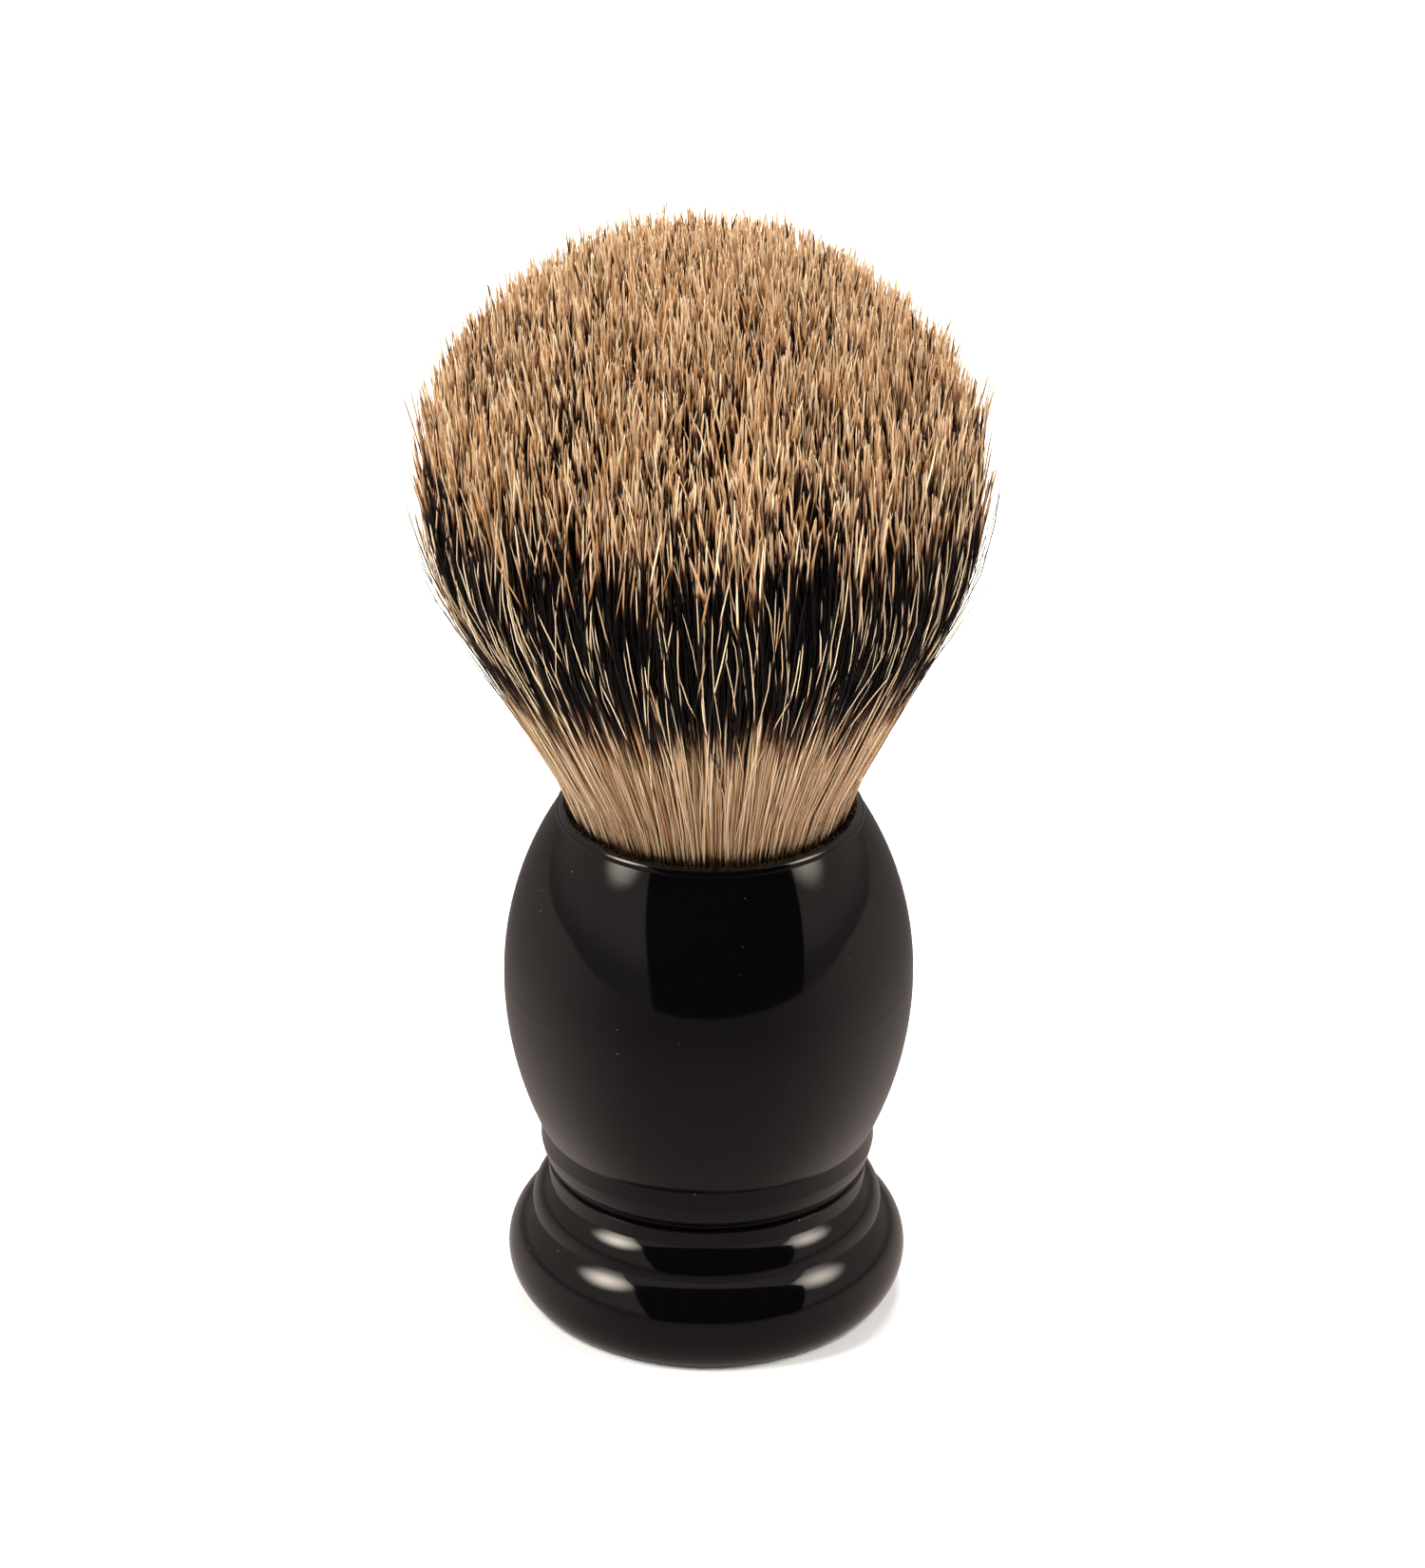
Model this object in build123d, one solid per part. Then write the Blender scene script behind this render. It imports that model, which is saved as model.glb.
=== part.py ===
from build123d import *
import os

# Shaving brush, upright on its foot. Millimetres, +Z up, origin at the centre of the underside.
# Every piece is turned about Z, so its outline is drawn as (radius, height).

# --- the foot, from the ground up ---
ROLL_WIDEST_Z = 3.9         # height of the roll's widest point
ROLL_HEIGHT = 8.0           # from the ground to the valley above the roll
BEAD_HEIGHT = 2.75          # from the valley to the bead's top edge
COLLAR_HEIGHT = 1.3         # from the bead to the groove
GROOVE_HALF = 0.25          # the V groove's mouth, above and below the parting face
NECK_RADIUS = 13.25         # bottom of the V groove
GROOVE_DEPTH = 0.45
COLLAR_FLARE = 0.05         # the collar is this much wider at the bead
BEAD_WIDTH = 1.4            # the bead's top edge to the valley
BEAD_SWELL = 0.33           # the bead stands this far outside its chord
ROLL_WIDTH = 2.05           # the valley to the roll's widest point
STAND_INSET = 1.9           # the roll's widest point to the ring that the brush stands on
STAND_WIDTH = 2.7           # width of that ring
DISH_DEPTH = 1.0            # hollow inside the ring
DISH_BEVEL = 0.4

# --- the joint between the foot and the barrel ---
SPIGOT_RADIUS = 8.8
SPIGOT_HEIGHT = 5.0
SPIGOT_BEVEL = 0.5
JOINT_FILM = 0.2            # adhesive round the spigot

# --- the barrel, from the parting face up ---
BAND_HEIGHT = 2.05          # from the groove to the band's widest point
BAND_FLARE = 0.65           # the band widens this much on its way up
BAND_SHOULDER = 1.65        # from the band's widest point to the crease under the belly
CREASE_INSET = 0.02         # the band's widest point to the crease
BAND_SWELL = 0.06           # the band's lower part stands this far outside its chord
BELLY_RADIUS = 17.5
BELLY_RISE = 13.95          # from the crease to the widest point
RIM_RISE = 15.15            # from the widest point to the rim's shoulder
RIM_WIDTH = 1.5             # from the mouth to the rim's outer edge
RIM_ROUND = 0.7
RIM_DIP = 0.35              # the rim's face falls this much towards the mouth
SOCKET_RADIUS = 11.6
SOCKET_DEPTH = 13.3
WEB = 2.5                   # wall between the socket and the ballast chamber

# --- the ballast ---
BEDDING_WALL = 1.2          # potting round the slug
BEDDING_FLOOR = 1.0         # potting under the slug
BEDDING_COVER = 0.9         # potting above the slug
SLUG_BEVEL = 0.5

# --- the knot ---
PLUG_WALL_GAP = 0.5         # adhesive round the plug
PLUG_FLOOR_GAP = 0.8        # adhesive under the plug
PLUG_HEIGHT = 9.6
PLUG_BEVEL = 0.8
THREAD_RADIUS = 0.35
THREAD_TURNS = 4
THREAD_PITCH = 0.85
THREAD_PLAY = 0.05          # between the wraps and their channel
THREAD_MARGIN = 1.2         # plug above the channel

# --- the hair, from the mouth up ---
HAIR_GAP = 0.3              # between the hair and the mouth
FLANK_FLARE = 9.2           # the straight flank widens this much
FLANK_HEIGHT = 18.6
BLOOM_SWELL = 2.7           # from the end of the flank to the widest point
BLOOM_RISE = 11.2
CROWN_HEIGHT = 22.0         # from the widest point to the top
QUARTER_PULL = 0.5523       # a cubic curve with this pull at each end is a quarter of an ellipse

# --- heights ---
PARTING_Z = ROLL_HEIGHT + BEAD_HEIGHT + COLLAR_HEIGHT + GROOVE_HALF
SPIGOT_TOP_Z = PARTING_Z + SPIGOT_HEIGHT
BAND_Z = PARTING_Z + GROOVE_HALF + BAND_HEIGHT
CREASE_Z = BAND_Z + BAND_SHOULDER
BELLY_Z = CREASE_Z + BELLY_RISE
RIM_SHOULDER_Z = BELLY_Z + RIM_RISE
RIM_TOP_Z = RIM_SHOULDER_Z + RIM_ROUND
MOUTH_Z = RIM_TOP_Z - RIM_DIP
SOCKET_FLOOR_Z = MOUTH_Z - SOCKET_DEPTH
CHAMBER_TOP_Z = SOCKET_FLOOR_Z - WEB
PLUG_BOTTOM_Z = SOCKET_FLOOR_Z + PLUG_FLOOR_GAP
PLUG_TOP_Z = PLUG_BOTTOM_Z + PLUG_HEIGHT
BLOOM_Z = MOUTH_Z + FLANK_HEIGHT + BLOOM_RISE

# --- radii ---
LIP_RADIUS = NECK_RADIUS + GROOVE_DEPTH
BEAD_TOP_RADIUS = LIP_RADIUS + COLLAR_FLARE
VALLEY_RADIUS = BEAD_TOP_RADIUS + BEAD_WIDTH
ROLL_RADIUS = VALLEY_RADIUS + ROLL_WIDTH
STAND_RADIUS = ROLL_RADIUS - STAND_INSET
DISH_RADIUS = STAND_RADIUS - STAND_WIDTH
CHAMBER_RADIUS = SPIGOT_RADIUS + JOINT_FILM
SLUG_RADIUS = CHAMBER_RADIUS - BEDDING_WALL
BAND_RADIUS = LIP_RADIUS + BAND_FLARE
CREASE_RADIUS = BAND_RADIUS - CREASE_INSET
RIM_RADIUS = SOCKET_RADIUS + RIM_WIDTH
PLUG_RADIUS = SOCKET_RADIUS - PLUG_WALL_GAP
HAIR_RADIUS = SOCKET_RADIUS - HAIR_GAP
BLOOM_RADIUS = HAIR_RADIUS + FLANK_FLARE + BLOOM_SWELL


def belly_arc(radius, z):
    """Arc that leaves the belly's widest point upright and ends at (radius, z)."""
    rise = z - BELLY_Z
    inset = BELLY_RADIUS - radius
    curve = (rise**2 + inset**2) / (2 * inset)
    middle = BELLY_RADIUS - curve + (curve**2 - rise**2 / 4) ** 0.5
    return ThreePointArc((BELLY_RADIUS, BELLY_Z), (middle, BELLY_Z + rise / 2), (radius, z))


def turned(edges):
    """Solid of revolution about Z, from the closed outline that the edges make."""
    outline = make_face(Curve() + edges)
    return revolve(Plane.XZ * outline, Axis.Z)


def handle_foot():
    """Lower half of the handle: dished underside, roll, bead, collar and the barrel's spigot."""
    bead_top = (BEAD_TOP_RADIUS, ROLL_HEIGHT + BEAD_HEIGHT)
    valley = (VALLEY_RADIUS, ROLL_HEIGHT)
    return turned([
        Polyline(
            (0, SPIGOT_TOP_Z),
            (0, DISH_DEPTH),
            (DISH_RADIUS - DISH_BEVEL, DISH_DEPTH),
            (DISH_RADIUS, 0),
            (STAND_RADIUS, 0),
        ),
        ThreePointArc((STAND_RADIUS, 0), (ROLL_RADIUS, ROLL_WIDEST_Z), valley),
        SagittaArc(valley, bead_top, -BEAD_SWELL),
        Polyline(
            bead_top,
            (LIP_RADIUS, PARTING_Z - GROOVE_HALF),
            (NECK_RADIUS, PARTING_Z),
            (SPIGOT_RADIUS, PARTING_Z),
            (SPIGOT_RADIUS, SPIGOT_TOP_Z - SPIGOT_BEVEL),
            (SPIGOT_RADIUS - SPIGOT_BEVEL, SPIGOT_TOP_Z),
            (0, SPIGOT_TOP_Z),
        ),
    ])


def handle_barrel():
    """Upper half of the handle: rounded band, belly and rim, bored for the ballast and for the knot."""
    lip = (LIP_RADIUS, PARTING_Z + GROOVE_HALF)
    band = (BAND_RADIUS, BAND_Z)
    rim_inner = RIM_RADIUS - RIM_ROUND
    round_mid = RIM_ROUND * 0.5**0.5
    return turned([
        Polyline(
            (0, SOCKET_FLOOR_Z),
            (0, CHAMBER_TOP_Z),
            (CHAMBER_RADIUS, CHAMBER_TOP_Z),
            (CHAMBER_RADIUS, PARTING_Z),
            (NECK_RADIUS, PARTING_Z),
            lip,
        ),
        SagittaArc(lip, band, -BAND_SWELL),
        Line(band, (CREASE_RADIUS, CREASE_Z)),
        belly_arc(CREASE_RADIUS, CREASE_Z),
        belly_arc(RIM_RADIUS, RIM_SHOULDER_Z),
        ThreePointArc(
            (RIM_RADIUS, RIM_SHOULDER_Z),
            (rim_inner + round_mid, RIM_SHOULDER_Z + round_mid),
            (rim_inner, RIM_TOP_Z),
        ),
        Polyline(
            (rim_inner, RIM_TOP_Z),
            (SOCKET_RADIUS, MOUTH_Z),
            (SOCKET_RADIUS, SOCKET_FLOOR_Z),
            (0, SOCKET_FLOOR_Z),
        ),
    ])


def joint_adhesive():
    """Film that bonds the foot's spigot into the barrel."""
    height = SPIGOT_HEIGHT - SPIGOT_BEVEL
    ring = Cylinder(CHAMBER_RADIUS, height) - Cylinder(SPIGOT_RADIUS, height)
    return Pos(0, 0, PARTING_Z + height / 2) * ring


def ballast_slug():
    """Steel weight in the chamber, which keeps the brush upright."""
    bottom = SPIGOT_TOP_Z + BEDDING_FLOOR
    height = CHAMBER_TOP_Z - BEDDING_COVER - bottom
    slug = Cylinder(SLUG_RADIUS, height)
    slug = chamfer(slug.edges().filter_by(GeomType.CIRCLE), SLUG_BEVEL)
    return Pos(0, 0, bottom + height / 2) * slug


def ballast_bedding():
    """Potting that fills the chamber round the slug, down to the spigot."""
    height = CHAMBER_TOP_Z - SPIGOT_TOP_Z
    fill = Pos(0, 0, SPIGOT_TOP_Z + height / 2) * Cylinder(CHAMBER_RADIUS, height)
    return fill - ballast_slug()


def knot_plug():
    """Hard plug of adhesive and hair roots, bevelled below and channelled for the thread."""
    channel_top = PLUG_TOP_Z - THREAD_MARGIN
    channel_bottom = channel_top - THREAD_TURNS * THREAD_PITCH
    channel_radius = PLUG_RADIUS - 2 * (THREAD_RADIUS + THREAD_PLAY)
    return turned([
        Polyline(
            (0, PLUG_TOP_Z),
            (0, PLUG_BOTTOM_Z),
            (PLUG_RADIUS - PLUG_BEVEL, PLUG_BOTTOM_Z),
            (PLUG_RADIUS, PLUG_BOTTOM_Z + PLUG_BEVEL),
            (PLUG_RADIUS, channel_bottom),
            (channel_radius, channel_bottom),
            (channel_radius, channel_top),
            (PLUG_RADIUS, channel_top),
            (PLUG_RADIUS, PLUG_TOP_Z),
            (0, PLUG_TOP_Z),
        )
    ])


def knot_binding():
    """Wraps of waxed thread that tie the hair roots, side by side in the plug's channel."""
    top_z = PLUG_TOP_Z - THREAD_MARGIN - THREAD_PITCH / 2
    wrap = Torus(PLUG_RADIUS - THREAD_RADIUS - THREAD_PLAY, THREAD_RADIUS)
    return Compound([Pos(0, 0, top_z - i * THREAD_PITCH) * wrap for i in range(THREAD_TURNS)])


def socket_adhesive():
    """Cup of adhesive that beds the plug on the socket's floor and wall."""
    return turned([
        Polyline(
            (0, SOCKET_FLOOR_Z),
            (SOCKET_RADIUS, SOCKET_FLOOR_Z),
            (SOCKET_RADIUS, PLUG_TOP_Z),
            (PLUG_RADIUS, PLUG_TOP_Z),
            (PLUG_RADIUS, PLUG_BOTTOM_Z + PLUG_BEVEL),
            (PLUG_RADIUS - PLUG_BEVEL, PLUG_BOTTOM_Z),
            (0, PLUG_BOTTOM_Z),
            (0, SOCKET_FLOOR_Z),
        )
    ])


def hair_tuft():
    """The knot's loose hair as one soft body: straight flank from the mouth, full bloom, domed crown."""
    flank_end = (HAIR_RADIUS + FLANK_FLARE, MOUTH_Z + FLANK_HEIGHT)
    top_z = BLOOM_Z + CROWN_HEIGHT
    return turned([
        Polyline((0, PLUG_TOP_Z), (HAIR_RADIUS, PLUG_TOP_Z), (HAIR_RADIUS, MOUTH_Z), flank_end),
        Spline(flank_end, (BLOOM_RADIUS, BLOOM_Z), tangents=[(FLANK_FLARE, FLANK_HEIGHT), (0, 1)]),
        Bezier(
            (BLOOM_RADIUS, BLOOM_Z),
            (BLOOM_RADIUS, BLOOM_Z + CROWN_HEIGHT * QUARTER_PULL),
            (BLOOM_RADIUS * QUARTER_PULL, top_z),
            (0, top_z),
        ),
        Line((0, top_z), (0, PLUG_TOP_Z)),
    ])


PIECES = [
    handle_foot,
    handle_barrel,
    joint_adhesive,
    ballast_slug,
    ballast_bedding,
    socket_adhesive,
    knot_plug,
    knot_binding,
    hair_tuft,
]

os.makedirs("parts", exist_ok=True)
for piece in PIECES:
    export_step(piece(), f"parts/{piece.__name__}.step")
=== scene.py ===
import logging
import math
from dataclasses import dataclass, field
from enum import Enum

import bpy
import numpy as np
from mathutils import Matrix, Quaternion, Vector


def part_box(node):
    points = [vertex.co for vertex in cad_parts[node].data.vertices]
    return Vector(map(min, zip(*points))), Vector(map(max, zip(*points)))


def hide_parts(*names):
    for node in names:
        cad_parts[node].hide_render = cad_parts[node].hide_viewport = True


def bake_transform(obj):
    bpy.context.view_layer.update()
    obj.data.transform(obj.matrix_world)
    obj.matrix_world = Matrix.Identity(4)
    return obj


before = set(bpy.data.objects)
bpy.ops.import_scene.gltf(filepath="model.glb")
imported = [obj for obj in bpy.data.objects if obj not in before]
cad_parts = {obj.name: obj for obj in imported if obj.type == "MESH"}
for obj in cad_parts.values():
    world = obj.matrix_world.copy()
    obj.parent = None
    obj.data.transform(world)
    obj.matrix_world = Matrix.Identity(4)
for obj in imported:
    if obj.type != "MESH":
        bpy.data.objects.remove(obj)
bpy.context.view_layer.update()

# A shaving brush: a turned glossy handle and a domed knot of banded hair. Metres throughout, +Z up.

MM = 0.001
Array = np.ndarray
Colour = tuple[float, float, float]
Socket = bpy.types.NodeSocket
Groups = dict[str, bpy.types.NodeTree]
Pieces = list[bpy.types.Object]
LOG = logging.getLogger("shaving_brush")


class Body(Enum):
    """The rigid bodies of the frame."""

    HANDLE = "handle"
    TUFT = "tuft"


class Slot(Enum):
    """The record's material slots that new pieces use."""

    HAIR = "badger_hair"


# ---------------------------------------------------------------------------------------------
# Shader helpers
# ---------------------------------------------------------------------------------------------


class Board:
    """Lays nodes on a node tree and wires them."""

    def __init__(self, tree: bpy.types.NodeTree) -> None:
        """Keeps the tree that the nodes go on.

        Args:
            tree: the tree of a material, a world or a group.
        """
        self.tree = tree

    def add(self, kind: str, inputs: dict | None = None, **settings: object) -> bpy.types.Node:
        """Adds one node.

        Args:
            kind: the node's type name.
            inputs: a value, or a socket to link from, for each input's name or number.
            settings: the node's own properties.

        Returns:
            The new node.
        """
        node = self.tree.nodes.new(kind)
        for name, value in settings.items():
            setattr(node, name, value)
        for key, value in (inputs or {}).items():
            if isinstance(value, Socket):
                self.tree.links.new(value, node.inputs[key])
            else:
                node.inputs[key].default_value = value
        return node

    def math(self, operation: str, first: object, second: object = 0.0) -> Socket:
        """Adds one step of arithmetic.

        Args:
            operation: the Math node's operation.
            first: its first value or socket.
            second: its second value or socket.

        Returns:
            The result's socket.
        """
        return self.add("ShaderNodeMath", {0: first, 1: second}, operation=operation).outputs[0]

    def ease(self, value: object, low: object, high: object) -> Socket:
        """Adds a smooth step from 0 at low to 1 at high.

        Args:
            value: the value or socket to test.
            low: where the step starts.
            high: where it ends.

        Returns:
            The step's socket.
        """
        step = self.add(
            "ShaderNodeMapRange",
            {"Value": value, "From Min": low, "From Max": high},
            interpolation_type="SMOOTHSTEP",
        )
        return step.outputs["Result"]

    def blend(self, share: object, first: object, second: object) -> Socket:
        """Adds a mix of two colours.

        Args:
            share: how much of the second colour shows.
            first: the first colour or socket.
            second: the second colour or socket.

        Returns:
            The mixed colour's socket.
        """
        mix = self.add("ShaderNodeMix", {0: share, 6: first, 7: second}, data_type="RGBA")
        return mix.outputs[2]


def opaque(colour: Colour) -> tuple[float, float, float, float]:
    """The colour with full alpha."""
    return (*colour, 1.0)


def new_group(name: str, inputs: dict[str, tuple[str, object]], outputs: dict[str, str]) -> tuple:
    """Makes an empty shader node group with named sockets.

    Args:
        name: the group's name.
        inputs: each input's socket type and default value, by name.
        outputs: each output's socket type, by name.

    Returns:
        The group, its board, its input node and its output node.
    """
    group = bpy.data.node_groups.new(name, "ShaderNodeTree")
    for socket_name, (kind, value) in inputs.items():
        socket = group.interface.new_socket(socket_name, in_out="INPUT", socket_type=kind)
        socket.default_value = value
    for socket_name, kind in outputs.items():
        group.interface.new_socket(socket_name, in_out="OUTPUT", socket_type=kind)
    board = Board(group)
    return group, board, board.add("NodeGroupInput"), board.add("NodeGroupOutput")


def make_mottle_group() -> bpy.types.NodeTree:
    """A soft cloudy value between two limits, for uneven polish or colour.

    Returns:
        The group, with inputs Vector, Scale, Low and High and output Value.
    """
    group, board, given, out = new_group(
        "mottle",
        {
            "Vector": ("NodeSocketVector", (0.0, 0.0, 0.0)),
            "Scale": ("NodeSocketFloat", 200.0),
            "Low": ("NodeSocketFloat", 0.0),
            "High": ("NodeSocketFloat", 1.0),
        },
        {"Value": "NodeSocketFloat"},
    )
    noise = board.add(
        "ShaderNodeTexNoise",
        {"Vector": given.outputs["Vector"], "Scale": given.outputs["Scale"], "Detail": 4.0},
    )
    spread = board.add(
        "ShaderNodeMapRange",
        {
            "Value": noise.outputs["Fac"],
            "From Min": 0.3,
            "From Max": 0.7,
            "To Min": given.outputs["Low"],
            "To Max": given.outputs["High"],
        },
    )
    board.tree.links.new(spread.outputs["Result"], out.inputs["Value"])
    return group


# Stretches of a banded hair, in millimetres.
TIP_EDGE = 1.3
ROOT_EDGE = 2.8
BLEACHED_END = 1.4
# Heights above the mouth where the painted shade, a darkening of the hair towards auburn, starts and is full.
MOUTH_SHADE_START, MOUTH_SHADE_FULL = 18.0, 2.0
# How strongly the bleaching and the painted shade near the mouth show, and the band's depths where each tone
# starts and is full.
BLEACH = 0.35
MOUTH_SHADE = 0.42
AUBURN_START, AUBURN_FULL = 0.0, 0.6
DARK_START, DARK_FULL = 0.3, 0.95

BLOND = (0.42, 0.205, 0.072)
PALE = (1.0, 0.77, 0.51)
AUBURN = (0.17, 0.050, 0.017)
DARK = (0.006, 0.0035, 0.0035)


def make_band_group() -> bpy.types.NodeTree:
    """The colour of a badger hair along its length: blond tip, dark band, blond root.

    The band is a smooth step up where the tip's blond ends and a smooth step down at the band's own
    end, both set for each hair. Between blond and dark the hair passes through auburn. Near the mouth
    the blond is darkened towards auburn as painted shade, and the last stretch of the tip is bleached.
    Lengths are in millimetres.

    Returns:
        The group, with the strand's numbers and the tones as inputs and output Color.
    """
    group, board, given, out = new_group(
        "hair_bands",
        {
            "From Tip": ("NodeSocketFloat", 0.0),
            "From Mouth": ("NodeSocketFloat", 0.0),
            "Tip Length": ("NodeSocketFloat", 3.45),
            "Band End": ("NodeSocketFloat", 13.4),
            "Shade": ("NodeSocketFloat", 0.5),
            "Blond": ("NodeSocketColor", opaque(BLOND)),
            "Pale": ("NodeSocketColor", opaque(PALE)),
            "Auburn": ("NodeSocketColor", opaque(AUBURN)),
            "Dark": ("NodeSocketColor", opaque(DARK)),
        },
        {"Color": "NodeSocketColor"},
    )
    from_tip, from_mouth = given.outputs["From Tip"], given.outputs["From Mouth"]
    tip, end = given.outputs["Tip Length"], given.outputs["Band End"]
    pale, auburn = given.outputs["Pale"], given.outputs["Auburn"]
    rise = board.ease(from_tip, board.math("SUBTRACT", tip, TIP_EDGE), board.math("ADD", tip, TIP_EDGE))
    fall = board.ease(from_mouth, board.math("SUBTRACT", end, ROOT_EDGE), board.math("ADD", end, ROOT_EDGE))
    band = board.math("MULTIPLY", rise, fall)
    own = board.blend(given.outputs["Shade"], given.outputs["Blond"], pale)
    # Painted shade: the hair's colour is darkened towards auburn near the mouth, where the knot goes into the
    # handle.
    mouth_shade = board.math("MULTIPLY", board.ease(from_mouth, MOUTH_SHADE_START, MOUTH_SHADE_FULL), MOUTH_SHADE)
    own = board.blend(mouth_shade, own, auburn)
    bleach = board.math("MULTIPLY", board.ease(from_tip, BLEACHED_END, 0.0), BLEACH)
    light = board.blend(bleach, own, pale)
    brown = board.blend(board.ease(band, AUBURN_START, AUBURN_FULL), light, auburn)
    colour = board.blend(board.ease(band, DARK_START, DARK_FULL), brown, given.outputs["Dark"])
    board.tree.links.new(colour, out.inputs["Color"])
    return group


@dataclass(frozen=True)
class Finish:
    """A named surface. Each kind of finish adds its own pattern in paint()."""

    name: str
    colour: Colour
    roughness: tuple[float, float]
    mottle_scale: float = 250.0
    metallic: float = 0.0
    specular: float = 0.5
    cloud_shade: float = 0.75

    def make(self, groups: Groups) -> bpy.types.Material:
        """Builds the material.

        Args:
            groups: the shared node groups, by name.

        Returns:
            The finished material.
        """
        material = bpy.data.materials.new(self.name)
        material.use_nodes = True
        material.node_tree.nodes.clear()
        board = Board(material.node_tree)
        shader = board.add(
            "ShaderNodeBsdfPrincipled", {"Metallic": self.metallic, "Specular IOR Level": self.specular}
        )
        output = board.add("ShaderNodeOutputMaterial", {"Surface": shader.outputs[0]})
        output.is_active_output = True
        place = board.add("ShaderNodeTexCoord").outputs["Object"]
        self.paint(board, shader, place, groups)
        return material

    def mottle(self, board: Board, place: Socket, groups: Groups, low: float, high: float) -> Socket:
        """Adds the shared cloudy value.

        Args:
            board: the material's board.
            place: the coordinates' socket.
            groups: the shared node groups, by name.
            low: the value in the cloud's gaps.
            high: the value in its middle.

        Returns:
            The value's socket.
        """
        cloud = board.add(
            "ShaderNodeGroup",
            {"Vector": place, "Scale": self.mottle_scale, "Low": low, "High": high},
            node_tree=groups["mottle"],
        )
        return cloud.outputs["Value"]

    def paint(self, board: Board, shader: bpy.types.Node, place: Socket, groups: Groups) -> None:
        """Gives the shader uneven polish and a slightly uneven colour.

        Args:
            board: the material's board.
            shader: the Principled shader.
            place: the coordinates' socket.
            groups: the shared node groups, by name.
        """
        links = board.tree.links
        links.new(self.mottle(board, place, groups, *self.roughness), shader.inputs["Roughness"])
        darker = tuple(c * self.cloud_shade for c in self.colour)
        tint = board.blend(self.mottle(board, place, groups, 0.0, 1.0), opaque(darker), opaque(self.colour))
        links.new(tint, shader.inputs["Base Color"])


@dataclass(frozen=True)
class PolishedResin(Finish):
    """Black turned resin: mirror polish with a few specks of pale dust."""

    dust: Colour = (0.30, 0.28, 0.26)
    dust_cell: float = 1.3 * MM
    dust_radius: float = 0.055 * MM
    dust_core: float = 0.4
    dust_share: float = 0.30
    dust_roughness: float = 0.6

    def paint(self, board: Board, shader: bpy.types.Node, place: Socket, groups: Groups) -> None:
        """Adds the dust: round specks at the middle of some cells of a scattered cell pattern.

        Args:
            board: the material's board.
            shader: the Principled shader.
            place: the coordinates' socket.
            groups: the shared node groups, by name.
        """
        links = board.tree.links
        cells = board.add("ShaderNodeTexVoronoi", {"Vector": place, "Scale": 1.0 / self.dust_cell})
        edge = self.dust_radius / self.dust_cell
        near = board.ease(cells.outputs["Distance"], edge, edge * self.dust_core)
        chance = board.add("ShaderNodeSeparateColor", {0: cells.outputs["Color"]}).outputs[0]
        speck = board.math("MULTIPLY", near, board.math("LESS_THAN", chance, self.dust_share))
        links.new(board.blend(speck, opaque(self.colour), opaque(self.dust)), shader.inputs["Base Color"])
        polish = self.mottle(board, place, groups, *self.roughness)
        rough = board.math("MAXIMUM", polish, board.math("MULTIPLY", speck, self.dust_roughness))
        links.new(rough, shader.inputs["Roughness"])


@dataclass(frozen=True)
class BandedHair(Finish):
    """Badger hair, coloured along each strand by the strand's own attributes."""

    def paint(self, board: Board, shader: bpy.types.Node, place: Socket, groups: Groups) -> None:
        """Feeds the strand's places and its own numbers through the banding.

        Args:
            board: the material's board.
            shader: the Principled shader.
            place: the coordinates' socket.
            groups: the shared node groups, by name.
        """
        links = board.tree.links
        along, own = (
            board.add(
                "ShaderNodeSeparateXYZ",
                {0: board.add("ShaderNodeAttribute", attribute_name=name).outputs["Vector"]},
            )
            for name in (Strands.PLACE, Strands.KIND)
        )
        bands = board.add(
            "ShaderNodeGroup",
            {
                "From Tip": along.outputs[0],
                "From Mouth": along.outputs[1],
                "Tip Length": own.outputs[0],
                "Band End": own.outputs[1],
                "Shade": own.outputs[2],
                "Blond": opaque(self.colour),
            },
            node_tree=groups["hair_bands"],
        )
        links.new(bands.outputs["Color"], shader.inputs["Base Color"])
        links.new(self.mottle(board, place, groups, *self.roughness), shader.inputs["Roughness"])


# ---------------------------------------------------------------------------------------------
# Meshes
# ---------------------------------------------------------------------------------------------


def add_mesh(name: str, points: Array, triangles: Array, smooth: bool = True) -> bpy.types.Object:
    """Puts arrays into a new object at the origin.

    Args:
        name: the piece's name.
        points: one row of x, y, z for each vertex.
        triangles: one row of three vertex numbers for each face, counter-clockwise from outside.
        smooth: whether the faces shade as one curved surface.

    Returns:
        The new object.
    """
    mesh = bpy.data.meshes.new(name)
    mesh.vertices.add(len(points))
    mesh.vertices.foreach_set("co", points.astype(np.float32).ravel())
    mesh.loops.add(triangles.size)
    mesh.loops.foreach_set("vertex_index", triangles.astype(np.int32).ravel())
    mesh.polygons.add(len(triangles))
    mesh.polygons.foreach_set("loop_start", np.arange(0, triangles.size, 3, dtype=np.int32))
    mesh.polygons.foreach_set("use_smooth", np.full(len(triangles), smooth))
    mesh.update(calc_edges=True)
    piece = bpy.data.objects.new(name, mesh)
    bpy.context.scene.collection.objects.link(piece)
    return piece


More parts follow.
